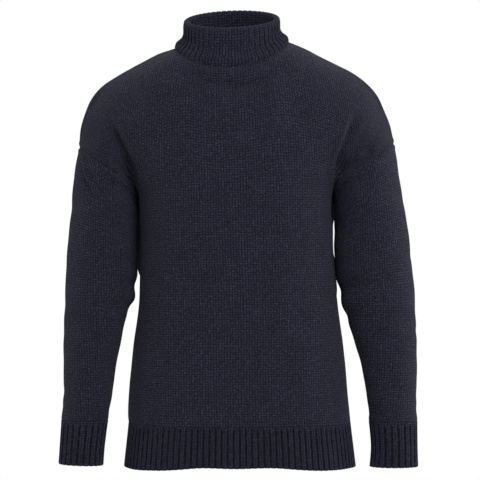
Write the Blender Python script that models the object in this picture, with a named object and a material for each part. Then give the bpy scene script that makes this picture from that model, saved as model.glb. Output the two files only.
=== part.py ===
"""Ribbed roll-neck sweater, in the hollow form that it takes when it is worn.

The frame: metres, +Z up, the front faces -Y and +X is the wearer's left.
The origin is the middle of the neck base, where the shoulders carry the garment.
Every cloth wall is lofted through sections that come from the tables below, in millimetres.
"""

import bmesh
import bpy
import numpy as np
from mathutils import Vector
from mathutils.bvhtree import BVHTree

MM = 0.001

# Cloth
WALL = 3.0  # plain knit wall
RIB_WALL = 4.6  # rib wall from crest to inside
RIB_GROOVE = 2.1  # how far a groove lies below the crests
SEAM = 0.3  # gap between two pieces at a seam
ARMHOLE_SEAM = 0.5  # the same round the armholes, where the walls turn sharply
FLAT_CREST = (0.27, 0.73)  # where a rib's flat crest starts and ends, in rib pitches
SHARP_EDGE = np.radians(50)

# How many ribs each band has, and how many grid columns and rows each panel has
HEM_RIBS_A_SIDE = 52
CUFF_RIBS = 22
COLLAR_RIBS = 52
SHOULDER_COLUMNS = 10
NECK_COLUMNS = 10
ARMHOLE_ROWS = 10
BODY_ROWS = 8
SLEEVE_ROWS = 15
SHOULDER_STEPS = 200  # fine steps that a shoulder line is measured along
SECTION_STEPS = 240  # the same for half a torso section

# Torso sections from the armpit down to where the hem rib starts.
# z, right side x, left side x, front depth, back depth, squareness of the section
TORSO = np.array([
    (-241, -158.6, 156.2, 126, 112, 3.0),
    (-300, -158.4, 156.8, 126, 108, 3.0),
    (-372, -157.0, 159.8, 124, 102, 2.9),
    (-430, -158.5, 167.0, 122, 102, 2.8),
    (-480, -167.0, 175.0, 121, 104, 2.7),
    (-540, -174.0, 181.0, 120, 108, 2.6),
    (-600, -178.0, 186.5, 118, 110, 2.6),
    (-623, -177.0, 188.8, 116, 110, 2.6),
])
# The hem rib, same columns
HEM = np.array([
    (-623.3, -177.0, 188.8, 116, 110, 2.6),
    (-689, -184.5, 197.3, 119, 113, 2.6),
    (-692, -183.1, 195.9, 117.6, 111.6, 2.6),
])

# The shoulder line from the sleeve seam up to the neckline: x, z
RIGHT_SHOULDER = np.array([
    (-258.2, -170), (-258.5, -150), (-254.5, -131), (-246.5, -106), (-233, -81), (-214, -64),
    (-186, -46.5), (-150, -27), (-125, -14.5), (-99, -6), (-76, 3),
])
LEFT_SHOULDER = np.array([
    (260.5, -164), (258.5, -146), (253, -130), (243.5, -106), (231, -81), (213, -62),
    (188, -44.5), (152, -27), (127, -14), (104, -3), (84, 5), (62, 13),
])

# The neckline, an oval in plan
NECK_X = -7.0
NECK_HALF_WIDTH = 69.0
NECK_FRONT = 61.0
NECK_BACK = 54.0
NECK_Y = -4.0
NECK_Z = 8.0
NECK_SLANT = 5.0  # the left neck point is this much above the middle
NECK_FRONT_DROP = 33.0
NECK_BACK_RISE = 2.0

# The yoke, from the armpits up. Shares count from the sleeve seam (0) to the neckline (1).
ARMHOLE_DEPTH = 71.0  # half depth of the armhole from front to back
ARMHOLE_REACH = 0.85  # share over which the armhole's roundness carries
ARMHOLE_FADE = 1.5  # how fast it fades over that share
ARMHOLE_BLUNT = 0.3  # share over which its round profile turns into a bulge at mid height
YOKE_POWER = 2.0  # roundness of the yoke from the armpit up
RIDGE_POWER = {-1: 0.46, 1: 0.4}  # roundness over the shoulder ridge, in front and behind
NECK_POWER = {-1: 0.6, 1: 0.4}  # the same at the front and the back of the neck
NECK_SHARE = 0.75  # where the shoulder's roundness starts to turn into the neck's
NECK_SPAN = 0.6  # and over what share it does
RELAX_PASSES = 3  # how often the yoke and body are smoothed
RELAX = 0.6
SEAM_TURN = 0.3  # turn round the armhole, in radians, where its own normals start to take over
SEAM_TURN_SPAN = 1.0

# Sleeve sections from the armhole to the cuff.
# outer x, outer z, inner x, inner z, middle y, half depth
RIGHT_SLEEVE = np.array([
    (-258.2, -170, -159.7, -241, 0, 71),
    (-263.5, -197, -161.5, -257, 0, 71.5),
    (-267.6, -227, -161.8, -278, 0, 71),
    (-271.4, -266, -161.8, -306, -1, 69),
    (-276.5, -320, -161.8, -345, -4, 65),
    (-279.8, -378, -162.0, -388, -8, 61),
    (-281.8, -420, -166.5, -420, -11, 58),
    (-282.5, -450, -180.0, -450, -13, 55),
    (-282.6, -490, -188.8, -490, -16, 51),
    (-283.0, -535, -197.0, -535, -19, 47),
    (-284.5, -581, -204.4, -581, -22, 43),
    (-286.0, -602, -207.6, -602, -23, 40),
    (-286.4, -618, -209.4, -618, -24, 34),
])
LEFT_SLEEVE = np.array([
    (260.5, -164, 157.2, -234, 0, 71),
    (265.5, -191, 160.5, -255, 0, 71.5),
    (270.6, -224, 162.0, -277, 0, 71),
    (277.0, -264, 162.2, -306, -1, 69),
    (285.5, -320, 162.0, -345, -4, 65),
    (291.0, -375, 164.5, -388, -8, 61),
    (294.0, -420, 172.0, -422, -11, 58),
    (295.8, -450, 180.5, -450, -13, 55),
    (296.7, -490, 195.5, -490, -16, 51),
    (297.0, -535, 206.5, -535, -19, 47),
    (296.2, -581, 214.5, -581, -22, 43),
    (297.0, -604, 216.7, -604, -23, 40),
    (297.5, -620, 217.6, -620, -24, 34),
])
# Cuff ribs, same columns
RIGHT_CUFF = np.array([
    (-286.4, -618.3, -209.4, -618.3, -24, 34),
    (-289.0, -660, -214.6, -660, -26, 32),
    (-290.8, -689, -216.8, -689, -27, 32),
    (-289.6, -692, -218.0, -692, -27, 30.8),
])
LEFT_CUFF = np.array([
    (297.5, -620.3, 217.6, -620.3, -24, 34),
    (297.8, -660, 220.8, -660, -26, 32),
    (298.6, -692.5, 220.4, -692.5, -27, 32),
    (297.4, -695.5, 221.6, -695.5, -27, 30.8),
])

# The roll collar: the cloth goes up inside from the neckline, folds over and comes down outside.
# height between foot (0) and rim (1), half width, half depth in front, half depth behind
COLLAR_RIBBED = np.array([
    (0.00, 95.5, 80.0, 73.0),
    (0.12, 92.5, 78.5, 71.5),
    (0.34, 82.5, 73.0, 67.0),
    (0.84, 79.5, 70.5, 64.5),
    (0.96, 78.0, 69.0, 63.0),
    (1.00, 74.0, 65.0, 59.0),
    (0.95, 70.0, 61.0, 55.0),
    (0.80, 68.5, 59.5, 53.5),
])
COLLAR_HIDDEN = np.array([
    (0.80, 72.6, 63.6, 57.6),
    (0.88, 74.0, 65.0, 59.0),
    (0.80, 75.4, 66.4, 60.4),
    (0.38, 77.6, 68.8, 62.8),
    (0.16, 84.6, 72.4, 65.8),
    (0.03, 90.6, 75.6, 68.6),
])
COLLAR_FOLD = 74.0  # half width of the fold between the two layers
RIM_Z = 44.0
RIM_SIDE_SLANT = 0.035
RIM_BACK_SLANT = 0.32
RIM_LEAN = -7.0  # the rim stands this far in front of the foot
FOOT_Z = 1.5  # height of the free edge at the sides, where the body doesn't lift it
FOOT_SLANT = 0.06
FOOT_FRONT_DROP = 43.0
FOOT_BACK_DROP = 3.0
FOOT_LIFT = 0.9  # the free edge lies this far above the body
COLLAR_WALL = 3.5
COLLAR_GROOVE = 1.5
COLLAR_SEAM = 0.6  # the inner layer's foot stands this far above the neckline
ABOVE = 200.0  # a height above everything
NEAR = 2.5  # heights on the body are taken this far round each point

# Main creases: soft troughs (depth above 0) and ridges, along x, z from one end to the other
# x0, z0, x1, z1, depth, half width, side (-1 front, 1 back)
BODY_CREASES = np.array([
    (-160, -236, -203, -138, 11, 13, -1),
    (-148, -232, -186, -150, -5, 14, -1),
    (157, -230, 198, -122, 11, 13, -1),
    (145, -226, 182, -145, -5, 14, -1),
    (-160, -236, -200, -132, 11, 14, 1),
    (157, -230, 199, -128, 11, 14, 1),
    (-60, -66, 48, -70, 3, 16, -1),
    (-120, -470, 20, -500, 4, 26, 1),
    (-30, -330, 110, -360, 4, 26, 1),
    (-110, -190, -20, -240, 4, 24, 1),
])
# Sleeve creases: middle z, width in z, depth, middle of the arc and its half width in degrees.
# 0 degrees is the inner side, 90 the front, 180 the outer side and 270 the back.
RIGHT_SLEEVE_CREASES = np.array([
    (-214, 12, 5, 60, 60),
    (-300, 34, 4, 75, 55),
    (-395, 20, 6, 40, 65),
    (-436, 18, 5, 20, 70),
    (-520, 22, 3, 60, 60),
    (-600, 12, 4, 95, 80),
])
LEFT_SLEEVE_CREASES = np.array([
    (-208, 12, 6, 70, 60),
    (-290, 34, 4, 60, 50),
    (-400, 20, 5, 45, 65),
    (-448, 18, 5, 25, 70),
    (-530, 22, 3, 70, 60),
    (-604, 12, 4, 90, 80),
])

CREASE_START = 4.0  # how steeply a body crease sets in along its length
CREASE_END = 2.2  # how steeply it dies away
CREASE_OVERRUN = 1.1  # it ends at this share of its length
CREASE_AT_SEAM = 0.6  # a body crease's depth in the column beside a seam
SLEEVE_SLANT = 0.25  # sleeve creases climb this many millimetres a degree
SLEEVE_AT_SEAM = 0.5  # a sleeve crease's depth in the row beside the armhole

COLOURS = {
    "plain_knit": (0.0215, 0.0215, 0.033, 1.0),
    "rib_knit": (0.0185, 0.0185, 0.029, 1.0),
}


def clear_scene():
    for item in list(bpy.data.objects):
        bpy.data.objects.remove(item, do_unlink=True)


def knit_material(name):
    """Matt wool yarn."""
    material = bpy.data.materials.new(name)
    material.use_nodes = True
    shader = material.node_tree.nodes["Principled BSDF"]
    shader.inputs["Base Color"].default_value = COLOURS[name]
    shader.inputs["Roughness"].default_value = 0.95
    shader.inputs["Metallic"].default_value = 0.0
    return material


def between_rows(table, at):
    """Rows between a table's rows, on a smooth curve through all of them; at counts in rows."""
    last = len(table) - 1
    at = np.clip(np.asarray(at, float), 0, last)
    low = np.minimum(at.astype(int), last - 1)
    part = (at - low)[:, None]
    before = table[np.maximum(low - 1, 0)]
    start = table[low]
    end = table[low + 1]
    after = table[np.minimum(low + 2, last)]
    slope_in = (end - before) / 2
    slope_out = (after - start) / 2
    return (
        start * (2 * part**3 - 3 * part**2 + 1)
        + slope_in * (part**3 - 2 * part**2 + part)
        + end * (3 * part**2 - 2 * part**3)
        + slope_out * (part**3 - part**2)
    )


def evenly(points, at):
    """Points at these shares of a polyline's length."""
    steps = np.linalg.norm(np.diff(points, axis=0), axis=1)
    length = np.concatenate([[0.0], np.cumsum(steps)])
    wanted = np.asarray(at) * length[-1]
    return np.stack([np.interp(wanted, length, axis) for axis in points.T], axis=1)


def half_section(row, side, at):
    """Half of a torso section, right side to left side: a superellipse, evenly spaced."""
    z, right, left, front, back, square = row
    turn = np.linspace(0, np.pi, SECTION_STEPS + 1)
    middle = (right + left) / 2
    half_width = (left - right) / 2
    depth = front if side < 0 else back
    x = middle - half_width * np.sign(np.cos(turn)) * np.abs(np.cos(turn)) ** (2 / square)
    y = side * depth * np.abs(np.sin(turn)) ** (2 / square)
    curve = np.stack([x, y, np.full_like(x, z)], axis=1)
    return evenly(curve, at)


def oval(half_width, front, back, turn, middle_y):
    """An oval in plan; turn 0 is the right side, a quarter is the front."""
    x = NECK_X - half_width * np.cos(turn)
    depth = np.where(np.sin(turn) >= 0, front, back)
    y = middle_y - depth * np.sin(turn)
    return x, y


def neckline(turn):
    """Points of the seam between body and collar, low in front."""
    x, y = oval(NECK_HALF_WIDTH, NECK_FRONT, NECK_BACK, turn, NECK_Y)
    slant = NECK_SLANT * (x - NECK_X) / NECK_HALF_WIDTH
    fall = np.where(np.sin(turn) >= 0, NECK_FRONT_DROP, NECK_BACK_RISE)
    z = NECK_Z + slant - fall * np.sin(turn)
    return np.stack([x, y, z], axis=1)


def shoulder(table):
    """A shoulder line from sleeve seam to neckline, evenly spaced."""
    fine = between_rows(table, np.linspace(0, len(table) - 1, SHOULDER_STEPS))
    share = np.linspace(0, 1, SHOULDER_COLUMNS + 1)
    line = evenly(fine, share)
    return np.stack([line[:, 0], NECK_Y * share, line[:, 1]], axis=1)


def top_edge(side):
    """The panel's upper edge: shoulder line, neckline, shoulder line."""
    turn = np.linspace(0, np.pi, NECK_COLUMNS + 1)
    if side > 0:
        turn = -turn
    neck = neckline(turn)
    right = shoulder(RIGHT_SHOULDER)
    left = shoulder(LEFT_SHOULDER)[::-1]
    return np.concatenate([right[:-1], neck, left[1:]])


def crease_shift(x, z, side, creases):
    """How far the creases push each point inwards: a soft bell across each line, faded at its ends."""
    shift = np.zeros_like(x)
    for x0, z0, x1, z1, depth, width, where in creases:
        if where != side:
            continue
        run = np.array([x1 - x0, z1 - z0])
        length = np.linalg.norm(run)
        run = run / length
        along = ((x - x0) * run[0] + (z - z0) * run[1]) / length
        across = (x - x0) * -run[1] + (z - z0) * run[0]
        fade = np.clip(along * CREASE_START, 0, 1)
        fade *= np.clip((CREASE_OVERRUN - along) * CREASE_END, 0, 1)
        fade = fade**2 * (3 - 2 * fade)
        shift += depth * fade * np.exp(-((across / width) ** 2))
    return shift


def relaxed(grid):
    """The grid with its inner points drawn to the middle of their neighbours, a few times over."""
    for _ in range(RELAX_PASSES):
        beside = grid[1:-1, :-2] + grid[1:-1, 2:]
        above = grid[:-2, 1:-1] + grid[2:, 1:-1]
        grid[1:-1, 1:-1] = grid[1:-1, 1:-1] * (1 - RELAX) + (beside + above) * RELAX / 4
    return grid


def armpit_row(side, share):
    """The torso section that the armholes start from, tilted to meet the foot of both."""
    row = half_section(TORSO[0], side, share)
    row[:, 2] = np.interp(share, (0, 1), (RIGHT_SLEEVE[0, 3], LEFT_SLEEVE[0, 3]))
    row[0, 0] = RIGHT_SLEEVE[0, 2]
    row[-1, 0] = LEFT_SLEEVE[0, 2]
    return row


def body_panel(side):
    """A panel's outer points, side -1 in front and 1 behind: rows go up, columns right to left."""
    across = 2 * SHOULDER_COLUMNS + NECK_COLUMNS
    share = np.linspace(0, 1, across + 1)
    heights = np.linspace(len(TORSO) - 1, 0, BODY_ROWS + 1)[:-1]
    lower = [half_section(row, side, share) for row in between_rows(TORSO, heights)]
    armpit = armpit_row(side, share)
    lower.append(armpit)
    top = top_edge(side)
    count = np.arange(across + 1)
    from_end = np.minimum(count, count[::-1]) / SHOULDER_COLUMNS
    reach = np.clip(1 - from_end / ARMHOLE_REACH, 0, 1) ** ARMHOLE_FADE
    neckness = np.clip((from_end - NECK_SHARE) / NECK_SPAN, 0, 1)
    power = RIDGE_POWER[side] + (NECK_POWER[side] - RIDGE_POWER[side]) * neckness
    sharpness = 1 + 2 * np.clip(from_end / ARMHOLE_BLUNT, 0, 1)
    upper = []
    for turn in np.linspace(0, np.pi, ARMHOLE_ROWS + 1)[1:]:
        rise = (1 - np.cos(turn)) / 2
        row = armpit * (1 - rise) + top * rise
        fall = np.clip(1 - rise**YOKE_POWER, 0, 1) ** power
        row[:, 1] = top[:, 1] + (armpit[:, 1] - top[:, 1]) * fall
        row[:, 1] += side * ARMHOLE_DEPTH * np.sin(turn) ** sharpness * reach
        upper.append(row)
    grid = relaxed(np.array(lower + upper))
    inside = crease_shift(grid[..., 0], grid[..., 2], side, BODY_CREASES)
    edge = np.ones_like(inside)
    edge[:, [0, -1]] = 0
    edge[[0, -1], :] = 0
    edge[:, [1, -2]] *= CREASE_AT_SEAM
    grid[..., 1] -= side * inside * edge
    return grid


def grid_normals(grid, closed=False):
    """Unit normals of a grid of points, by the cross product of its two directions."""
    if closed:
        along = np.roll(grid, -1, axis=1) - np.roll(grid, 1, axis=1)
    else:
        along = np.gradient(grid, axis=1)
    up = np.gradient(grid, axis=0)
    normal = np.cross(along, up)
    return normal / np.maximum(np.linalg.norm(normal, axis=2, keepdims=True), 1e-9)


def ring_normals(row, turn):
    """The armhole's own normals: in its plane, away from its middle."""
    outer = np.array([row[0], 0, row[1]])
    inner = np.array([row[2], 0, row[3]])
    chord = inner - outer
    half = np.linalg.norm(chord) / 2
    chord = chord / (2 * half)
    forward = np.array([0, -1.0, 0])
    normal = np.cos(turn)[:, None] * chord / half + np.sin(turn)[:, None] * forward / row[5]
    return normal / np.linalg.norm(normal, axis=1, keepdims=True)


def ring_axis(row):
    """Unit vector across the armhole, down the sleeve."""
    chord = np.array([row[2] - row[0], 0, row[3] - row[1]])
    axis = np.cross(chord, [0, 1.0, 0])
    axis = axis / np.linalg.norm(axis)
    return axis if axis[2] < 0 else -axis


def both_panels():
    """Outer and inner points of the front and back panel, which share their normals along seams."""
    grids = {side: body_panel(side) for side in (-1, 1)}
    normals = {-1: grid_normals(grids[-1]), 1: -grid_normals(grids[1])}
    shared = normals[-1] + normals[1]
    shared = shared / np.maximum(np.linalg.norm(shared, axis=2, keepdims=True), 1e-9)
    neck = slice(SHOULDER_COLUMNS, SHOULDER_COLUMNS + NECK_COLUMNS + 1)
    walls = {}
    for side in (-1, 1):
        normal = normals[side].copy()
        normal[: BODY_ROWS + 1, [0, -1]] = shared[: BODY_ROWS + 1, [0, -1]]
        normal[-1] = shared[-1]
        turn = np.linspace(0, np.pi, ARMHOLE_ROWS + 1)
        joined = np.clip((turn - SEAM_TURN) / SEAM_TURN_SPAN, 0, 1)[:, None]
        turn = turn if side < 0 else -turn
        for end, table in ((0, RIGHT_SLEEVE), (-1, LEFT_SLEEVE)):
            own = normal[BODY_ROWS:, end]
            axis = ring_axis(table[0])
            own = own - np.minimum(own @ axis, 0)[:, None] * axis
            mixed = own * (1 - joined) + ring_normals(table[0], turn) * joined
            normal[BODY_ROWS:, end] = mixed / np.linalg.norm(mixed, axis=1, keepdims=True)
        normal[0, :, 2] = 0
        normal[0] /= np.linalg.norm(normal[0], axis=1, keepdims=True)
        radial = grids[side][-1, neck] - [NECK_X, NECK_Y, 0]
        radial[:, 2] = 0
        normal[-1, neck] = radial / np.linalg.norm(radial, axis=1, keepdims=True)
        outer = grids[side].copy()
        inner = outer - WALL * normal
        for skin in (outer, inner):
            skin[: BODY_ROWS + 1, [0, -1], 1] += side * SEAM / 2
            skin[-1, :, 1] += side * SEAM / 2
            skin[BODY_ROWS:, 0] -= ring_axis(RIGHT_SLEEVE[0]) * ARMHOLE_SEAM / 2
            skin[BODY_ROWS:, -1] -= ring_axis(LEFT_SLEEVE[0]) * ARMHOLE_SEAM / 2
        walls[side] = (outer, inner)
    return walls


def sleeve_ring(row, turn):
    """One closed ring: turn 0 is the inner side, a quarter the front, a half the outer side."""
    outer = np.array([row[0], 0, row[1]])
    inner = np.array([row[2], 0, row[3]])
    middle = (outer + inner) / 2
    half = (inner - outer) / 2
    ring = middle + np.cos(turn)[:, None] * half
    ring[:, 1] = row[4] - row[5] * np.sin(turn)
    return ring


def sleeve_creases(grid, turn, creases):
    """Moves the points of a sleeve in along its creases, each a bell in height and round the arm."""
    middle = grid.mean(axis=1, keepdims=True)
    spoke = grid - middle
    length = np.linalg.norm(spoke, axis=2, keepdims=True)
    depth = np.zeros(grid.shape[:2])
    for z, width, deep, where, arc in creases:
        swing = (np.degrees(turn) - where + 180) % 360 - 180
        slant = grid[..., 2] - z - SLEEVE_SLANT * swing[None, :]
        bell = np.exp(-((slant / width) ** 2)) * np.exp(-((swing / arc) ** 2))[None, :]
        depth += deep * bell
    fade = np.ones(len(grid))
    fade[0] = 0
    fade[-1] = 0
    fade[1] = SLEEVE_AT_SEAM
    return grid - spoke / length * (depth * fade[:, None])[..., None]


def sleeve_wall(table, creases):
    """Outer and inner points of a sleeve, whose first ring has the armhole's points."""
    turn = np.linspace(0, 2 * np.pi, 2 * ARMHOLE_ROWS + 1)[:-1]
    sections = between_rows(table, np.linspace(0, len(table) - 1, SLEEVE_ROWS + 1))
    grid = np.array([sleeve_ring(row, turn) for row in sections])
    grid = sleeve_creases(grid, turn, creases)
    normal = grid_normals(grid, closed=True)
    spoke = grid - grid.mean(axis=1, keepdims=True)
    if (normal * spoke).sum() < 0:
        normal = -normal
    normal[0] = ring_normals(table[0], turn)
    flat = spoke[-1] * [1, 1, 0]
    normal[-1] = flat / np.linalg.norm(flat, axis=1, keepdims=True)
    outer = grid.copy()
    inner = grid - WALL * normal
    for skin in (outer, inner):
        skin[0] += ring_axis(table[0]) * ARMHOLE_SEAM / 2
    return outer, inner


def wall_faces(rows, columns, closed):
    """Quads of a two-skin wall: outer skin, inner skin and the rims between them."""
    count = rows * columns
    index = np.arange(count).reshape(rows, columns)
    if closed:
        index = np.concatenate([index, index[:, :1]], axis=1)
    low = index[:-1]
    high = index[1:]
    outer = np.stack([low[:, :-1], low[:, 1:], high[:, 1:], high[:, :-1]], axis=-1).reshape(-1, 4)
    inner = outer[:, ::-1] + count
    edges = [index[0], index[-1]]
    if not closed:
        edges += [index[:, 0], index[:, -1]]
    rims = [
        np.stack([edge[:-1], edge[1:], edge[1:] + count, edge[:-1] + count], axis=-1)
        for edge in edges
    ]
    return np.concatenate([outer, inner] + rims).tolist()


def finish_mesh(name, points, faces, material, collection, parent):
    """One closed mesh, in metres, with its faces turned outwards."""
    mesh = bpy.data.meshes.new(name)
    mesh.from_pydata((np.asarray(points) * MM).tolist(), [], faces)
    work = bmesh.new()
    work.from_mesh(mesh)
    bmesh.ops.recalc_face_normals(work, faces=work.faces)
    if work.calc_volume(signed=True) < 0:
        bmesh.ops.reverse_faces(work, faces=work.faces)
    work.to_mesh(mesh)
    work.free()
    mesh.shade_smooth()
    mesh.set_sharp_from_angle(angle=SHARP_EDGE)
    mesh.materials.append(material)
    item = bpy.data.objects.new(name, mesh)
    collection.objects.link(item)
    item.parent = parent
    return item


def plain_wall(name, outer, inner, closed, *place):
    """A closed body between an outer and an inner skin with the same grid."""
    rows, columns = outer.shape[:2]
    points = np.concatenate([outer.reshape(-1, 3), inner.reshape(-1, 3)])
    return finish_mesh(name, points, wall_faces(rows, columns, closed), *place)


def rib_places(ribs):
    """Where the points of a row of ribs lie, in ribs: groove, crest, crest, and so on."""
    start = np.arange(ribs)
    return np.stack([start, start + FLAT_CREST[0], start + FLAT_CREST[1]], axis=1).ravel()


def bridge(first, second, closed):
    """Faces between two rings with as many points, or with one plain point for each rib of three."""
    if len(first) == len(second):
        a = list(first)
        b = list(second)
        if closed:
            a.append(first[0])
            b.append(second[0])
        return [[a[i], a[i + 1], b[i + 1], b[i]] for i in range(len(a) - 1)]
    fine, plain = (first, second) if len(first) > len(second) else (second, first)
    fine = list(fine) + ([fine[0]] if closed else [])
    plain = list(plain) + ([plain[0]] if closed else [])
    faces = []
    for i in range(len(plain) - 1):
        a, b, c, d = fine[3 * i : 3 * i + 4]
        faces += [[plain[i], a, b], [plain[i], b, c], [plain[i], c, d, plain[i + 1]]]
    return faces


def ribbed_wall(name, rings, closed, *place):
    """A closed body round a loop of rings; an open one gets an end face at each end."""
    starts = np.cumsum([0] + [len(ring) for ring in rings])
    indices = [list(range(starts[k], starts[k + 1])) for k in range(len(rings))]
    faces = []
    for k in range(len(rings)):
        faces += bridge(indices[k], indices[(k + 1) % len(rings)], closed)
    if not closed:
        faces.append([ring[0] for ring in indices])
        faces.append([ring[-1] for ring in indices][::-1])
    return finish_mesh(name, np.concatenate(rings), faces, *place)


def plan_normals(curve, closed):
    """Horizontal unit normals of a curve."""
    if closed:
        run = np.roll(curve, -1, axis=0) - np.roll(curve, 1, axis=0)
    else:
        run = np.gradient(curve, axis=0)
    normal = np.stack([run[:, 1], -run[:, 0], np.zeros(len(run))], axis=1)
    return normal / np.linalg.norm(normal, axis=1, keepdims=True)


def outwards(curve, normal):
    """The normals, turned away from the curve's middle."""
    middle = curve.mean(axis=0)
    return normal if ((curve - middle) * normal).sum() > 0 else -normal


def grooves(count_of_points):
    """1 at each groove and 0 at each crest, for points in threes."""
    return (np.arange(count_of_points) % 3 == 0).astype(float)[:, None]


def hem_rib(name, side, *place):
    """One half of the hem rib: ribs outside over a plain inner face."""
    ribs = HEM_RIBS_A_SIDE
    fine = np.append(rib_places(ribs), ribs) / ribs
    plain = np.arange(ribs + 1) / ribs
    rings = []
    for row in HEM[::-1]:
        curve = half_section(row, side, fine)
        normal = outwards(curve, plan_normals(curve, False))
        normal[[0, -1], 1] = 0
        rings.append(curve - normal * RIB_GROOVE * grooves(len(curve)))
    for row in (HEM[0], HEM[-1]):
        inside = row.copy()
        inside[1] += RIB_WALL
        inside[2] -= RIB_WALL
        inside[3:5] -= RIB_WALL
        rings.append(half_section(inside, side, plain))
    for ring in rings:
        ring[[0, -1], 1] += side * SEAM / 2
    return ribbed_wall(name, rings, False, *place)


def cuff_rib(name, table, *place):
    """A ribbed tube at the end of a sleeve."""
    fine = rib_places(CUFF_RIBS) / CUFF_RIBS * 2 * np.pi
    plain = np.arange(CUFF_RIBS) / CUFF_RIBS * 2 * np.pi
    rings = []
    for row in table[::-1]:
        ring = sleeve_ring(row, fine)
        normal = outwards(ring, plan_normals(ring, True))
        rings.append(ring - normal * RIB_GROOVE * grooves(len(ring)))
    for row in (table[0], table[-1]):
        ring = sleeve_ring(row, plain)
        rings.append(ring - outwards(ring, plan_normals(ring, True)) * RIB_WALL)
    return ribbed_wall(name, rings, True, *place)


def surface_tree(walls):
    """A search tree over the outer skins of both panels."""
    points = []
    faces = []
    for outer, _ in walls.values():
        rows, columns = outer.shape[:2]
        quads = np.array(wall_faces(rows, columns, False)[: (rows - 1) * (columns - 1)])
        faces += (quads + len(points)).tolist()
        points += outer.reshape(-1, 3).tolist()
    return BVHTree.FromPolygons(points, faces)


def height_on(tree, x, y):
    """The body's greatest height near each point of a plan curve; -ABOVE inside the neckline."""
    heights = np.full(len(x), -ABOVE)
    for reach_x, reach_y in ((0, 0), (NEAR, 0), (-NEAR, 0), (0, NEAR), (0, -NEAR)):
        for k, (px, py) in enumerate(zip(x + reach_x, y + reach_y)):
            hit = tree.ray_cast(Vector((px, py, ABOVE)), Vector((0, 0, -1)))[0]
            if hit:
                heights[k] = max(heights[k], hit.z)
    return heights


def collar_ring(row, turn, tree, groove=0.0):
    """A ring part of the way from the free edge (0) to the rim (1), kept clear of the body.

    groove is how far each point lies inside the crests: inwards on the outer layer, outwards on
    the inner layer and down on the fold between them.
    """
    share, half_width, front, back = row
    foot_x, foot_y = oval(*COLLAR_RIBBED[0, 1:], turn, NECK_Y)
    fall = np.where(np.sin(turn) >= 0, FOOT_FRONT_DROP, -FOOT_BACK_DROP) * np.sin(turn)
    level = FOOT_Z + FOOT_SLANT * (foot_x - NECK_X) - fall
    foot = np.maximum(level, height_on(tree, foot_x, foot_y) + FOOT_LIFT)
    way = np.sign(half_width - COLLAR_FOLD)
    inside = way * groove
    x, y = oval(half_width - inside, front - inside, back - inside, turn, NECK_Y + RIM_LEAN * share)
    rim = RIM_Z + RIM_SIDE_SLANT * (x - NECK_X) + RIM_BACK_SLANT * (y - NECK_Y)
    if way == 0:
        rim = rim - groove
    lift = FOOT_LIFT if np.isscalar(groove) or share == 0 else FOOT_LIFT + COLLAR_WALL
    z = foot + share * (rim - foot)
    return np.stack([x, y, np.maximum(z, height_on(tree, x, y) + lift)], axis=1)


def collar_foot(offset, turn):
    """A ring of the inner layer, which stands on the straight edges between the neckline's points."""
    corners = np.linspace(0, 2 * np.pi, 2 * NECK_COLUMNS + 1)
    edge = neckline(corners)
    ring = np.stack([np.interp(turn, corners, axis) for axis in edge.T], axis=1)
    spoke = ring - [NECK_X, NECK_Y, 0]
    spoke[:, 2] = 0
    ring += np.asarray(offset)[..., None] * spoke / np.linalg.norm(spoke, axis=1, keepdims=True)
    ring[:, 2] += COLLAR_SEAM
    return ring


def roll_collar(name, tree, *place):
    """One tube of rib that goes up inside, folds over and comes down outside, as a single wall."""
    fine = rib_places(COLLAR_RIBS) / COLLAR_RIBS * 2 * np.pi
    plain = np.arange(COLLAR_RIBS) / COLLAR_RIBS * 2 * np.pi
    groove = grooves(len(fine))[:, 0] * COLLAR_GROOVE
    rings = [collar_ring(row, fine, tree, groove) for row in COLLAR_RIBBED]
    rings.append(collar_foot(groove - WALL, fine))
    rings.append(collar_foot(0, plain))
    rings += [collar_ring(row, plain, tree) for row in COLLAR_HIDDEN]
    return ribbed_wall(name, rings, True, *place)


def build():
    clear_scene()
    collection = bpy.data.collections.new("roll_neck_sweater")
    bpy.context.scene.collection.children.link(collection)
    neck_base = bpy.data.objects.new("neck_base", None)
    collection.objects.link(neck_base)
    knit = (knit_material("plain_knit"), collection, neck_base)
    rib = (knit_material("rib_knit"), collection, neck_base)
    walls = both_panels()
    plain_wall("front_panel", *walls[-1], False, *knit)
    plain_wall("back_panel", *walls[1], False, *knit)
    plain_wall("right_sleeve", *sleeve_wall(RIGHT_SLEEVE, RIGHT_SLEEVE_CREASES), True, *knit)
    plain_wall("left_sleeve", *sleeve_wall(LEFT_SLEEVE, LEFT_SLEEVE_CREASES), True, *knit)
    hem_rib("front_hem_rib", -1, *rib)
    hem_rib("back_hem_rib", 1, *rib)
    cuff_rib("right_cuff_rib", RIGHT_CUFF, *rib)
    cuff_rib("left_cuff_rib", LEFT_CUFF, *rib)
    roll_collar("roll_collar", surface_tree(walls), *rib)


build()
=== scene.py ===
import bpy
import numpy as np
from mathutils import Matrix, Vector


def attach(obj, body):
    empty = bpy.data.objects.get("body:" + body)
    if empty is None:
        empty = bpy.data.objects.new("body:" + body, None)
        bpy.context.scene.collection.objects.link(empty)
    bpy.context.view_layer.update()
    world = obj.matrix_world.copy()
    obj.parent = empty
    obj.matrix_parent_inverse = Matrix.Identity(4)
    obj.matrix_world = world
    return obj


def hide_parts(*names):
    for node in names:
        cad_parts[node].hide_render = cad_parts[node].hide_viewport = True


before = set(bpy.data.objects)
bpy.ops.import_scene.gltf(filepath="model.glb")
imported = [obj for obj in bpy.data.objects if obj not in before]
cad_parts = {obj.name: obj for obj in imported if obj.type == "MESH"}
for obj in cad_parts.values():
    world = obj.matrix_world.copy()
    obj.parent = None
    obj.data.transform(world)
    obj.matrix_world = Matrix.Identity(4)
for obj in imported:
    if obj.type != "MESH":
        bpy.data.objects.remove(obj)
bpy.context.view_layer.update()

MM = 0.001
print("nodes:", sorted(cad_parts))

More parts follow.
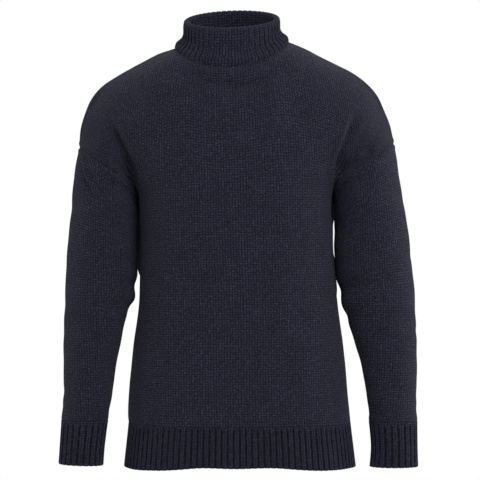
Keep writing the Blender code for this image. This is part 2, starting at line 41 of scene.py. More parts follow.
# %% [markdown]
# ## Camera, floor and light
# The sweater was shot from straight in front with a long lens, against pure white. A level camera
# 3.8 m away does that, and its focal length follows from the width that the picture covers. Light
# comes from a white surround, which brightens the edges of the wool and leaves the inner sides of
# the sleeves dark. One large soft lamp stands above in front, two more light the outer edges of the
# sleeves from a little behind, and one over the back lights the collar's rim and the shoulders. A
# bare white surround would light the wool evenly and hide its form. The floor lies where a wearer
# would stand, far under the picture.
# %% Camera at the photograph's angle
CAMERA_DISTANCE = 3.8
CAMERA_X = 0.0066
CAMERA_Z = -0.323
PICTURE_WIDTH = 0.792  # metres across at the garment's middle plane
SENSOR = 36.0

camera_data = bpy.data.cameras.new("camera")
camera_data.sensor_width = SENSOR
camera_data.lens = SENSOR * CAMERA_DISTANCE / PICTURE_WIDTH
camera = bpy.data.objects.new("camera", camera_data)
camera.location = (CAMERA_X, -CAMERA_DISTANCE, CAMERA_Z)
camera.rotation_euler = (np.pi / 2, 0, 0)
bpy.context.scene.collection.objects.link(camera)
bpy.context.scene.camera = camera
print("focal length: %.1f mm" % camera_data.lens)


# %% Colours and node helper
def linear(hex_colour):
    """An sRGB hex colour as the linear RGBA that Blender's sockets take."""
    value = np.array([int(hex_colour[k:k + 2], 16) for k in (1, 3, 5)]) / 255
    low = value / 12.92
    high = ((value + 0.055) / 1.055) ** 2.4
    return [*np.where(value <= 0.04045, low, high), 1.0]


def add(tree, kind, settings=None, links=None):
    """A node of this kind: settings are its own values or its sockets', links go into its sockets."""
    node = tree.nodes.new(kind)
    for key, value in (settings or {}).items():
        if isinstance(key, str) and hasattr(node, key):
            setattr(node, key, value)
        else:
            node.inputs[key].default_value = value
    for key, source in (links or {}).items():
        tree.links.new(source, node.inputs[key])
    return node


# %% White surround, soft lamps and floor
SURROUND = 0.36
KEY_POWER = 94.0
KEY_SIZE = 2.2
RIGHT_RIM_POWER = 17.0
LEFT_RIM_POWER = 22.0
RIM_SIZE = 1.3
TOP_POWER = 34.0
TOP_SIZE = 1.6
FLOOR_Z = -1.45
FLOOR_RADIUS = 3.0

# The backdrop is seen pure white but gives less light, as in a studio whose side walls are dark
world = bpy.data.worlds.new("white_surround")
world.use_nodes = True
sky = world.node_tree
seen = sky.nodes["Background"]
seen.inputs["Color"].default_value = (1, 1, 1, 1)
seen.inputs["Strength"].default_value = 1.0
lit = add(sky, "ShaderNodeBackground", {"Color": (1, 1, 1, 1), "Strength": SURROUND})
path = add(sky, "ShaderNodeLightPath")
both = add(sky, "ShaderNodeMixShader", {},
           {0: path.outputs["Is Camera Ray"], 1: lit.outputs[0], 2: seen.outputs[0]})
sky.links.new(both.outputs[0], sky.nodes["World Output"].inputs["Surface"])
bpy.context.scene.world = world
bpy.context.scene.view_settings.view_transform = "Standard"


def softbox(name, place, power, size):
    """A square area lamp that looks at the sweater's middle."""
    data = bpy.data.lights.new(name, "AREA")
    data.energy = power
    data.size = size
    lamp = bpy.data.objects.new(name, data)
    lamp.location = place
    aim = Vector((0, 0, CAMERA_Z)) - lamp.location
    lamp.rotation_euler = aim.to_track_quat("-Z", "Y").to_euler()
    bpy.context.scene.collection.objects.link(lamp)
    return lamp


softbox("key_light", (1.2, -3.0, 2.0), KEY_POWER, KEY_SIZE)
softbox("right_rim_light", (-2.5, 0.7, 0.1), RIGHT_RIM_POWER, RIM_SIZE)
softbox("left_rim_light", (2.5, 0.7, 0.1), LEFT_RIM_POWER, RIM_SIZE)
softbox("top_light", (0.2, 1.5, 2.1), TOP_POWER, TOP_SIZE)

turn = np.linspace(0, 2 * np.pi, 97)[:-1]
rim = np.stack([np.cos(turn), np.sin(turn), np.zeros_like(turn)], axis=1) * FLOOR_RADIUS
floor_mesh = bpy.data.meshes.new("floor")
floor_mesh.from_pydata((rim + [0, 0, FLOOR_Z]).tolist(), [], [list(range(len(turn)))])
floor = bpy.data.objects.new("floor", floor_mesh)
bpy.context.scene.collection.objects.link(floor)

paint = bpy.data.materials.new("pale_studio_floor")
paint.use_nodes = True
paint.node_tree.nodes["Principled BSDF"].inputs["Base Color"].default_value = linear("#e9e9e7")
paint.node_tree.nodes["Principled BSDF"].inputs["Roughness"].default_value = 0.9
floor_mesh.materials.append(paint)
print("floor at", FLOOR_Z, "m, radius", FLOOR_RADIUS, "m")

# %% [markdown]
# ## From rows of sizes to grids of points
# A knitted tube can be described by a few sections, each a row of sizes. A smooth curve through
# the rows (a Catmull-Rom curve, which passes through every one) gives sections at any place
# between them, and the same curve makes a coarse grid of points into a fine one. A subdivision
# modifier would shrink the form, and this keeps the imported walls' sizes.
# %% Smooth curves through rows
def between_rows(rows, at):
    """Rows between rows: cubic pieces through all of them, whose slope at each row is half the
    step from the row before to the row after. at counts in rows."""
    last = len(rows) - 1
    at = np.clip(np.asarray(at, float), 0, last)
    low = np.minimum(at.astype(int), last - 1)
    part = (at - low).reshape((-1,) + (1,) * (rows.ndim - 1))
    start = rows[low]
    end = rows[low + 1]
    slope_in = (end - rows[np.maximum(low - 1, 0)]) / 2
    slope_out = (rows[np.minimum(low + 2, last)] - start) / 2
    return (
        start * (2 * part**3 - 3 * part**2 + 1)
        + slope_in * (part**3 - 2 * part**2 + part)
        + end * (3 * part**2 - 2 * part**3)
        + slope_out * (part**3 - part**2)
    )


def finer_rows(grid, times):
    """The grid with this many rows for each of its own."""
    return between_rows(grid, np.linspace(0, len(grid) - 1, (len(grid) - 1) * times + 1))


def finer_columns(grid, times):
    """The grid with this many columns for each of its own."""
    return np.swapaxes(finer_rows(np.swapaxes(grid, 0, 1), times), 0, 1)


def evenly(points, at):
    """Points at these shares of a polyline's length."""
    steps = np.linalg.norm(np.diff(points, axis=0), axis=1)
    length = np.concatenate([[0.0], np.cumsum(steps)])
    wanted = np.asarray(at) * length[-1]
    return np.stack([np.interp(wanted, length, axis) for axis in points.T], axis=1)


def unit(vectors):
    """The vectors at length one."""
    return vectors / np.maximum(np.linalg.norm(vectors, axis=-1, keepdims=True), 1e-9)


def grid_normals(grid, closed=False):
    """Unit normals of a grid: the cross product of its steps along a row and up a column."""
    if closed:
        along = np.roll(grid, -1, axis=1) - np.roll(grid, 1, axis=1)
    else:
        along = np.gradient(grid, axis=1)
    return unit(np.cross(along, np.gradient(grid, axis=0)))


def closed_up(grid):
    """The grid of a tube with its first column again after the last."""
    return np.concatenate([grid, grid[:, :1]], axis=1)


def lengths(grid, axis):
    """Distance along the grid's lines from their start, in the grid's own unit."""
    steps = np.linalg.norm(np.diff(grid, axis=axis), axis=2)
    start = np.zeros_like(np.take(steps, [0], axis=axis))
    return np.concatenate([start, np.cumsum(steps, axis=axis)], axis=axis)


# %% [markdown]
# ## A wall of cloth with stitches laid on it
# Every piece is two skins, an outer and an inner grid of the same size, joined by rims at their
# edges. That gives a closed body with a real thickness, which a single sheet would not have. The
# UV map counts stitches and not a share of a picture: one unit across is one wale (a column of
# stitches), one unit up is one course (a row), so the pattern keeps its size on every piece.
# %% Gauge of the knitting
# The real stitches are about 3.7 mm across and 3.3 mm up, a pixel or two in the picture, where
# they would blur to a plain grey. So they are drawn a fifth coarser than that, to show.
WALE = 4.4  # millimetres across one stitch
COURSE = 4.0  # millimetres up one stitch
WALL = 3.0


# %% Build one piece from two skins
def wall_corners(rows, columns):
    """Quads over two skins of rows times columns corners each, with the rims between them."""
    count = rows * columns
    index = np.arange(count).reshape(rows, columns)
    quads = [np.stack([index[:-1, :-1], index[:-1, 1:], index[1:, 1:], index[1:, :-1]], axis=-1)]
    quads.append(quads[0][..., ::-1] + count)
    edges = {"bottom": index[0][::-1], "top": index[-1], "right": index[:, 0], "left": index[::-1, -1]}
    rims = {
        name: np.stack([edge[:-1], edge[1:], edge[1:] + count, edge[:-1] + count], axis=-1)
        for name, edge in edges.items()
    }
    return [quad.reshape(-1, 4) for quad in quads], rims


def knit_piece(name, outer, inner, stitches, material, closed=False):
    """A closed body from an outer and an inner grid, in millimetres. stitches is the UV grid,
    which has one column more than a closed tube, where the pattern's ends meet."""
    rows, columns = outer.shape[:2]
    corner_columns = columns + closed
    quads, rims = wall_corners(rows, corner_columns)
    corners = np.concatenate(
        quads + [rims["bottom"], rims["top"]] + ([] if closed else [rims["right"], rims["left"]])
    )
    skin, place = np.divmod(corners, rows * corner_columns)
    row, column = np.divmod(place, corner_columns)
    vertices = skin * rows * columns + row * columns + column % columns
    points = np.concatenate([outer.reshape(-1, 3), inner.reshape(-1, 3)]) * MM
    a, b, c, d = (points[vertices[:, k]] for k in range(4))
    volume = (np.cross(a, b) * c).sum() + (np.cross(a, c) * d).sum()
    if volume < 0:
        vertices = vertices[:, ::-1]
        corners = corners[:, ::-1]
    mesh = bpy.data.meshes.new(name)
    mesh.from_pydata(points, [], vertices.tolist())
    layer = mesh.uv_layers.new(name="stitches")
    uv = np.concatenate([stitches.reshape(-1, 2)] * 2)[corners]
    layer.data.foreach_set("uv", uv.ravel())
    mesh.shade_smooth()
    mesh.set_sharp_from_angle(angle=np.radians(60))
    mesh.materials.append(material)
    piece = bpy.data.objects.new(name, mesh)
    bpy.context.scene.collection.objects.link(piece)
    print("%s: %d triangles, %.0f cm3" % (name, 2 * len(vertices), abs(volume) / 6 * 1e6))
    return piece


def stitch_grid(grid, middle, closed=False):
    """UV in stitches: across, the distance along each row from the middle column; up, the mean
    distance of each row from the first."""
    if closed:
        grid = closed_up(grid)
    across = lengths(grid, 1)
    across = (across - across[:, middle:middle + 1]) / WALE
    up = np.broadcast_to(lengths(grid, 0).mean(axis=1, keepdims=True) / COURSE, across.shape)
    return np.stack([across, up], axis=-1)


# %% [markdown]
# ## Wool that is knitted
# The yarn is a woollen-spun marl: dyed fibres of navy, charcoal and a little light grey are carded
# together before spinning, so that each stitch has flecks and no two are the same colour. Stocking
# stitch shows columns of small Vs. A picture of stitches would do, but a formula stays sharp and
# follows the UV map: the two legs of each V are ridges that rise away from the wale's middle.
# The surface is matt, with a pale bloom at its edges from the fibres that stand out.
# %% Material of the knitting
MATH = "ShaderNodeMath"
VECTOR_MATH = "ShaderNodeVectorMath"


def marl_wool(name, deep, body, fleck, relief):
    """Matt wool with V stitches from the UV map. deep, body and fleck are the marl's colours."""
    material = bpy.data.materials.new(name)
    material.use_nodes = True
    tree = material.node_tree
    shader = tree.nodes["Principled BSDF"]
    uv = add(tree, "ShaderNodeUVMap", {"uv_map": "stitches"}).outputs["UV"]

    # Uneven tension: each stitch lies a little off its place
    wander = add(tree, "ShaderNodeTexNoise", {"Scale": 0.35, "Detail": 2.0}, {"Vector": uv})
    shift = add(tree, VECTOR_MATH, {"operation": "SUBTRACT", 1: (0.5, 0.5, 0.5)},
                {0: wander.outputs["Color"]})
    shift = add(tree, VECTOR_MATH, {"operation": "SCALE", "Scale": 0.6}, {0: shift.outputs[0]})
    place = add(tree, VECTOR_MATH, {"operation": "ADD"}, {0: uv, 1: shift.outputs[0]})
    parts = add(tree, "ShaderNodeSeparateXYZ", {}, {0: place.outputs[0]})

    # Distance from the edge of the wale, 0 to a half, then the wale's round back, which falls away
    # to the line between two wales, and a shallower line down its middle, between the legs of the V
    side = add(tree, MATH, {"operation": "PINGPONG", 1: 0.5}, {0: parts.outputs["X"]})
    angle = add(tree, MATH, {"operation": "MULTIPLY", 1: np.pi}, {0: side.outputs[0]})
    back = add(tree, MATH, {"operation": "SINE"}, {0: angle.outputs[0]})
    middle_line = add(tree, MATH, {"operation": "POWER", 1: 8.0}, {0: back.outputs[0]})
    legs = add(tree, MATH, {"operation": "MULTIPLY_ADD", 1: -0.35},
               {0: middle_line.outputs[0], 2: back.outputs[0]})

    # The legs slant: the phase up the wale lags by half a course from its middle to its edge
    lag = add(tree, MATH, {"operation": "MULTIPLY_ADD", 1: 1.0},
              {0: side.outputs[0], 2: parts.outputs["Y"]})
    wave = add(tree, MATH, {"operation": "MULTIPLY", 1: 2 * np.pi}, {0: lag.outputs[0]})
    wave = add(tree, MATH, {"operation": "COSINE"}, {0: wave.outputs[0]})
    wave = add(tree, MATH, {"operation": "MULTIPLY_ADD", 1: 0.35, 2: 0.65}, {0: wave.outputs[0]})
    stitch = add(tree, MATH, {"operation": "MULTIPLY"}, {0: legs.outputs[0], 1: wave.outputs[0]})

    # Fibres, finer than the yarn, make the stitch rough
    fibre = add(tree, "ShaderNodeTexNoise", {"Scale": 5.0, "Detail": 4.0, "Roughness": 0.7}, {"Vector": uv})
    height = add(tree, MATH, {"operation": "MULTIPLY_ADD", 1: 0.5},
                 {0: fibre.outputs["Fac"], 2: stitch.outputs[0]})
    bump = add(tree, "ShaderNodeBump", {"Strength": 1.0, "Distance": relief * MM},
               {"Height": height.outputs[0]})

    # Marl: flecks about as long as one stitch, over a slow drift from one ball of yarn to the next
    fleck_noise = add(tree, "ShaderNodeTexNoise", {"Scale": 1.3, "Detail": 3.0, "Roughness": 0.75},
                      {"Vector": uv})
    drift = add(tree, "ShaderNodeTexNoise", {"Scale": 0.12, "Detail": 3.0}, {"Vector": uv})
    mix = add(tree, MATH, {"operation": "MULTIPLY_ADD", 1: 0.12},
              {0: drift.outputs["Fac"], 2: fleck_noise.outputs["Fac"]})
    ramp = add(tree, "ShaderNodeValToRGB", {}, {"Fac": mix.outputs[0]})
    stops = ramp.color_ramp.elements
    stops[0].position = 0.42
    stops[0].color = linear(deep)
    stops[1].position = 0.74
    stops[1].color = linear(fleck)
    middle = stops.new(0.56)
    middle.color = linear(body)

    # Each stitch has its own share of light and dark fibres
    cell = add(tree, VECTOR_MATH, {"operation": "FLOOR"}, {0: place.outputs[0]})
    stitch_tone = add(tree, "ShaderNodeTexWhiteNoise", {}, {"Vector": cell.outputs[0]})
    stitch_tone = add(tree, MATH, {"operation": "MULTIPLY_ADD", 1: 0.45, 2: 0.9},
                      {0: stitch_tone.outputs["Value"]})

    # Less light reaches the yarn between the legs
    shade = add(tree, "ShaderNodeMapRange", {"To Min": 0.16, "To Max": 1.9}, {"Value": stitch.outputs[0]})
    shade = add(tree, MATH, {"operation": "MULTIPLY"},
                {0: shade.outputs["Result"], 1: stitch_tone.outputs[0]})
    tone = add(tree, VECTOR_MATH, {"operation": "SCALE"},
               {0: ramp.outputs["Color"], "Scale": shade.outputs[0]})
    tree.links.new(tone.outputs[0], shader.inputs["Base Color"])
    tree.links.new(bump.outputs["Normal"], shader.inputs["Normal"])
    shader.inputs["Roughness"].default_value = 0.95
    shader.inputs["Specular IOR Level"].default_value = 0.2
    shader.inputs["Sheen Weight"].default_value = 0.10
    shader.inputs["Sheen Roughness"].default_value = 0.4
    shader.inputs["Sheen Tint"].default_value = linear("#a9a9b8")
    return material


KNIT = {}
KNIT["plain_knit"] = marl_wool("woollen_spun_marl_stocking_stitch", "#1b1b27", "#262638", "#3b3b4e", 1.6)
KNIT["rib_knit"] = marl_wool("woollen_spun_marl_rib", "#181825", "#232336", "#37374b", 1.2)
print("materials:", [material.name for material in KNIT.values()])

# %% [markdown]
# ## The body's form
# The front and the back hang from the shoulders and fall straight to the hem. Below the armpits
# each is half of a rounded rectangle. Above them, each row blends into the shoulder line and the
# neckline, deep at first and closing fast near the top, as cloth does over a shoulder. The
# armholes are slanted ovals on dropped shoulders. The tables of sections, the shoulder lines
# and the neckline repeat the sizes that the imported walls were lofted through.
# %% Sizes of the body
# z, right side x, left side x, front depth, back depth, squareness of the section
TORSO = np.array([
    (-241, -158.6, 156.2, 126, 112, 3.0),
    (-300, -158.4, 156.8, 126, 108, 3.0),
    (-372, -157.0, 159.8, 124, 102, 2.9),
    (-430, -158.5, 167.0, 122, 102, 2.8),
    (-480, -167.0, 175.0, 121, 104, 2.7),
    (-540, -174.0, 181.0, 120, 108, 2.6),
    (-600, -178.0, 186.5, 118, 110, 2.6),
    (-623, -177.0, 188.8, 116, 110, 2.6),
])
# The shoulder line from the sleeve seam up to the neckline: x, z
RIGHT_SHOULDER = np.array([
    (-258.2, -170), (-258.5, -150), (-254.5, -131), (-246.5, -106), (-233, -81), (-214, -64),
    (-186, -46.5), (-150, -27), (-125, -14.5), (-99, -6), (-76, 3),
])
LEFT_SHOULDER = np.array([
    (260.5, -164), (258.5, -146), (253, -130), (243.5, -106), (231, -81), (213, -62),
    (188, -44.5), (152, -27), (127, -14), (104, -3), (84, 5), (62, 13),
])
NECK_X = -7.0
NECK_Y = -4.0
NECK_Z = 8.0
NECK_HALF_WIDTH = 69.0
NECK_FRONT = 61.0
NECK_BACK = 54.0
NECK_SLANT = 5.0
NECK_FRONT_DROP = 33.0
NECK_BACK_RISE = 2.0
SHOULDER_COLUMNS = 10
NECK_COLUMNS = 10
ARMHOLE_ROWS = 10
BODY_ROWS = 8
ARMHOLE_DEPTH = 71.0
ARMHOLE_REACH = 0.85
ARMHOLE_FADE = 1.5
ARMHOLE_BLUNT = 0.3
YOKE_POWER = 2.0
RIDGE_POWER = {-1: 0.46, 1: 0.4}
NECK_POWER = {-1: 0.6, 1: 0.4}
NECK_SHARE = 0.75
NECK_SPAN = 0.6
RELAX_PASSES = 3
RELAX = 0.6


# %% Outline curves of the body
def half_section(row, side, at):
    """Half of a torso section, right side to left side: a superellipse, evenly spaced."""
    z, right, left, front, back, square = row
    turn = np.linspace(0, np.pi, 241)
    half_width = (left - right) / 2
    depth = front if side < 0 else back
    x = (right + left) / 2 - half_width * np.sign(np.cos(turn)) * np.abs(np.cos(turn)) ** (2 / square)
    y = side * depth * np.abs(np.sin(turn)) ** (2 / square)
    return evenly(np.stack([x, y, np.full_like(x, z)], axis=1), at)


def oval(half_width, front, back, turn, middle_y):
    """An oval in plan; turn 0 is the right side, a quarter is the front."""
    depth = np.where(np.sin(turn) >= 0, front, back)
    return NECK_X - half_width * np.cos(turn), middle_y - depth * np.sin(turn)


def neckline(turn):
    """Points of the seam between body and collar, low in front."""
    x, y = oval(NECK_HALF_WIDTH, NECK_FRONT, NECK_BACK, turn, NECK_Y)
    fall = np.where(np.sin(turn) >= 0, NECK_FRONT_DROP, NECK_BACK_RISE)
    z = NECK_Z + NECK_SLANT * (x - NECK_X) / NECK_HALF_WIDTH - fall * np.sin(turn)
    return np.stack([x, y, z], axis=1)


def shoulder(table):
    """A shoulder line from sleeve seam to neckline, evenly spaced."""
    share = np.linspace(0, 1, SHOULDER_COLUMNS + 1)
    line = evenly(between_rows(table, np.linspace(0, len(table) - 1, 200)), share)
    return np.stack([line[:, 0], NECK_Y * share, line[:, 1]], axis=1)


def top_edge(side):
    """The panel's upper edge: shoulder line, neckline, shoulder line."""
    neck = neckline(-side * np.linspace(0, np.pi, NECK_COLUMNS + 1))
    right = shoulder(RIGHT_SHOULDER)
    left = shoulder(LEFT_SHOULDER)[::-1]
    return np.concatenate([right[:-1], neck, left[1:]])


# %% Sizes of the sleeves
# outer x, outer z, inner x, inner z, middle y, half depth, from the armhole to the cuff
RIGHT_SLEEVE = np.array([
    (-258.2, -170, -159.7, -241, 0, 71),
    (-263.5, -197, -161.5, -257, 0, 71.5),
    (-267.6, -227, -161.8, -278, 0, 71),
    (-271.4, -266, -161.8, -306, -1, 69),
    (-276.5, -320, -161.8, -345, -4, 65),
    (-279.8, -378, -162.0, -388, -8, 61),
    (-281.8, -420, -166.5, -420, -11, 58),
    (-282.5, -450, -180.0, -450, -13, 55),
    (-282.6, -490, -188.8, -490, -16, 51),
    (-283.0, -535, -197.0, -535, -19, 47),
    (-284.5, -581, -204.4, -581, -22, 43),
    (-286.0, -602, -207.6, -602, -23, 40),
    (-286.4, -618, -209.4, -618, -24, 34),
])
LEFT_SLEEVE = np.array([
    (260.5, -164, 157.2, -234, 0, 71),
    (265.5, -191, 160.5, -255, 0, 71.5),
    (270.6, -224, 162.0, -277, 0, 71),
    (277.0, -264, 162.2, -306, -1, 69),
    (285.5, -320, 162.0, -345, -4, 65),
    (291.0, -375, 164.5, -388, -8, 61),
    (294.0, -420, 172.0, -422, -11, 58),
    (295.8, -450, 180.5, -450, -13, 55),
    (296.7, -490, 195.5, -490, -16, 51),
    (297.0, -535, 206.5, -535, -19, 47),
    (296.2, -581, 214.5, -581, -22, 43),
    (297.0, -604, 216.7, -604, -23, 40),
    (297.5, -620, 217.6, -620, -24, 34),
])
SLEEVE_ROWS = 15


# %% Coarse grid of a body panel
def relaxed(grid):
    """The grid with its inner points drawn to the middle of their neighbours, a few times over."""
    for _ in range(RELAX_PASSES):
        beside = grid[1:-1, :-2] + grid[1:-1, 2:]
        above = grid[:-2, 1:-1] + grid[2:, 1:-1]
        grid[1:-1, 1:-1] = grid[1:-1, 1:-1] * (1 - RELAX) + (beside + above) * RELAX / 4
    return grid


def coarse_panel(side):
    """A panel's points, side -1 in front and 1 behind: rows go up, columns right to left. Above
    the armpit the height blends from the armpit's row to the upper edge, and the depth closes
    with a power of what is left, plus the armhole's half round near the sleeve."""
    across = 2 * SHOULDER_COLUMNS + NECK_COLUMNS
    share = np.linspace(0, 1, across + 1)
    heights = np.linspace(len(TORSO) - 1, 0, BODY_ROWS + 1)[:-1]
    lower = [half_section(row, side, share) for row in between_rows(TORSO, heights)]
    armpit = half_section(TORSO[0], side, share)
    armpit[:, 2] = np.interp(share, (0, 1), (RIGHT_SLEEVE[0, 3], LEFT_SLEEVE[0, 3]))
    armpit[0, 0] = RIGHT_SLEEVE[0, 2]
    armpit[-1, 0] = LEFT_SLEEVE[0, 2]
    top = top_edge(side)
    count = np.arange(across + 1)
    from_end = np.minimum(count, count[::-1]) / SHOULDER_COLUMNS
    reach = np.clip(1 - from_end / ARMHOLE_REACH, 0, 1) ** ARMHOLE_FADE
    neckness = np.clip((from_end - NECK_SHARE) / NECK_SPAN, 0, 1)
    power = RIDGE_POWER[side] + (NECK_POWER[side] - RIDGE_POWER[side]) * neckness
    sharpness = 1 + 2 * np.clip(from_end / ARMHOLE_BLUNT, 0, 1)
    upper = []
    for turn in np.linspace(0, np.pi, ARMHOLE_ROWS + 1)[1:]:
        rise = (1 - np.cos(turn)) / 2
        row = armpit * (1 - rise) + top * rise
        fall = np.clip(1 - rise**YOKE_POWER, 0, 1) ** power
        row[:, 1] = top[:, 1] + (armpit[:, 1] - top[:, 1]) * fall
        row[:, 1] += side * ARMHOLE_DEPTH * np.sin(turn) ** sharpness * reach
        upper.append(row)
    return relaxed(np.array(lower + [armpit] + upper))


# %% Fine grid of a body panel
ROWS_FINER = 9
COLUMNS_FINER = 8
CORNER_COLUMNS = 2.5  # coarse columns over which the armpit's corner is rounded off


def fine_panel(side):
    """The coarse panel made finer. Its side edge has a corner at the armpit, so there the rows
    below and above are curved apart, and this fades into the whole curve away from the edge."""
    coarse = coarse_panel(side)
    whole = finer_rows(coarse, ROWS_FINER)
    low = finer_rows(coarse[:BODY_ROWS + 1], ROWS_FINER)
    high = finer_rows(coarse[BODY_ROWS:], ROWS_FINER)
    apart = np.concatenate([low, high[1:]])
    count = np.arange(coarse.shape[1])
    from_end = np.minimum(count, count[::-1])
    corner = np.clip(1 - from_end / CORNER_COLUMNS, 0, 1)[None, :, None]
    return finer_columns(whole + (apart - whole) * corner, COLUMNS_FINER)


# %% [markdown]
# ## Creases placed one by one
# The cloth is thick, so it makes few creases, all soft: a deep one from each armpit up over the
# chest, a shallow hollow under the collar, and slack folds at the elbows. Simulating the fall of
# the cloth would give creases in other places. So each crease is one row of sizes, a bell across a
# slightly bowed line that fades at both ends, and the rows differ in length, depth and spacing.
# %% Creases of the body
# x0, z0, x1, z1, bow, depth (a ridge is below 0), half width, side (-1 front, 1 back)
BODY_CREASES = np.array([
    (-163, -248, -208, -126, -5, 10, 8, -1),
    (-166, -240, -214, -140, -5, 5, 15, -1),
    (-154, -246, -198, -128, -5, -3.5, 7.5, -1),
    (-184, -222, -230, -162, 4, -3, 10, -1),
    (162, -240, 198, -116, 5, 10, 7.5, -1),
    (168, -236, 206, -140, 5, 5, 15, -1),
    (152, -240, 188, -122, 5, -4.5, 6.5, -1),
    (178, -222, 222, -170, -4, 6, 8, -1),
    (180, -196, 246, -152, -4, -3.5, 7, -1),
    (-94, -42, 84, -40, -32, 6.2, 9, -1),
    (-88, -26, 80, -22, -32, -3.0, 7, -1),
    (-70, -96, 60, -104, -14, 1.6, 16, -1),
    (-150, -280, -132, -470, 10, 2.2, 16, -1),
    (150, -262, 138, -430, -12, 2.6, 15, -1),
    (-60, -520, 80, -548, 10, 1.5, 22, -1),
    (-120, -410, -20, -388, 9, 1.3, 24, -1),
    (20, -330, 120, -306, -10, 1.4, 22, -1),
    (-228, -66, -246, -112, 4, 2.0, 9, -1),
    (232, -70, 250, -118, -4, 2.0, 9, -1),
    (-163, -244, -203, -128, -5, 12, 9, 1),
    (-146, -232, -184, -142, -4, -5, 14, 1),
    (160, -236, 200, -124, 5, 12, 9, 1),
    (144, -228, 184, -140, 5, -5, 14, 1),
    (-120, -470, 20, -500, 14, 3.5, 20, 1),
    (-30, -330, 118, -366, 16, 3.8, 20, 1),
    (-118, -196, -14, -246, 14, 3.6, 19, 1),
    (-80, -404, 60, -424, -12, 2.6, 17, 1),
    (30, -212, 122, -180, 10, 2.6, 18, 1),
    (-150, -560, -30, -586, 8, 2.4, 18, 1),
    (40, -540, 150, -520, -8, 2.2, 18, 1),
])


def stroke(x, z, row):
    """A soft trough along a bowed line: the bell of the distance across it, times its depth, times
    a fade from each end."""
    x0, z0, x1, z1, bow, depth, width = row[:7]
    run = np.array([x1 - x0, z1 - z0])
    length = np.linalg.norm(run)
    run = run / length
    along = ((x - x0) * run[0] + (z - z0) * run[1]) / length
    across = (x - x0) * -run[1] + (z - z0) * run[0] - bow * 4 * along * (1 - along)
    fade = np.clip(along * 3.5, 0, 1) * np.clip((1.08 - along) * 3.0, 0, 1)
    return depth * fade**2 * (3 - 2 * fade) * np.exp(-((across / width) ** 2))


def waviness(a, b, seed, size, depth):
    """Slack that no cloth is without: a sum of slanted waves, each of its own length and phase."""
    draw = np.random.default_rng(seed)
    total = np.zeros_like(a)
    for _ in range(14):
        heading = draw.uniform(0, np.pi)
        length = size * draw.uniform(0.6, 1.9)
        phase = draw.uniform(0, 2 * np.pi)
        total += np.sin((a * np.cos(heading) + b * np.sin(heading)) * 2 * np.pi / length + phase)
    return total * depth / 14**0.5


# %% Seams between panels
def seam_profile(distance, height=1.1, sunk=1.2):
    """Cloth beside a seam: it sinks into the seam and stands up a little a stitch away."""
    return height * np.exp(-(((distance - 5.5) / 3.2) ** 2)) - sunk * np.exp(-((distance / 2.2) ** 2))


SEAM_TURN = 0.3  # turn round the armhole, in radians, where its own normals start to take over
SEAM_TURN_SPAN = 1.0
SEAM_BLEND = 9.0  # millimetres over which they fade into the cloth's own


def armhole_normals(row, turn):
    """The armhole's own normals, which both pieces share at the seam, so that it has no slit: those
    of an ellipse, in its plane and away from its middle."""
    chord = np.array([row[2] - row[0], 0, row[3] - row[1]])
    half = np.linalg.norm(chord) / 2
    spoke = np.cos(turn)[:, None] * chord / (2 * half**2)
    return unit(spoke - np.sin(turn)[:, None] * np.array([0, 1.0, 0]) / row[5])


# %% Slack behind the underarms
# The spare cloth behind each underarm folds outwards and closes most of the view between body and
# sleeve: z and the fold's height there, from the lower end up
RIGHT_FOLD = np.array([
    (-392, 0), (-380, 8), (-366, 13), (-315, 13), (-296, 9.5), (-240, 8.5), (-222, 5), (-205, 0),
])
LEFT_FOLD = np.array([
    (-434, 0), (-420, 6), (-405, 9), (-356, 9), (-345, 6.6), (-318, 6.2), (-298, 6.6),
    (-286, 10), (-262, 9), (-222, 9), (-205, 5), (-190, 0),
])
FOLD_FROM_SIDE = 40.0
FOLD_WIDTH = 17.0


def underarm_folds(from_right, from_left, z):
    """Bells of the distance from each side seam, as high as the tables say at that height."""
    total = np.zeros_like(z)
    for table, from_seam in ((RIGHT_FOLD, from_right), (LEFT_FOLD, from_left)):
        bell = np.exp(-(((from_seam - FOLD_FROM_SIDE) / FOLD_WIDTH) ** 2))
        total += np.interp(z, table[:, 0], table[:, 1]) * bell
    return total


# %% Front and back
SLACK = 0.5  # millimetres
HEM_DRAWN_IN = 0.5  # how far the plain cloth sinks where a rib starts
DRAWN_SPAN = 4.0


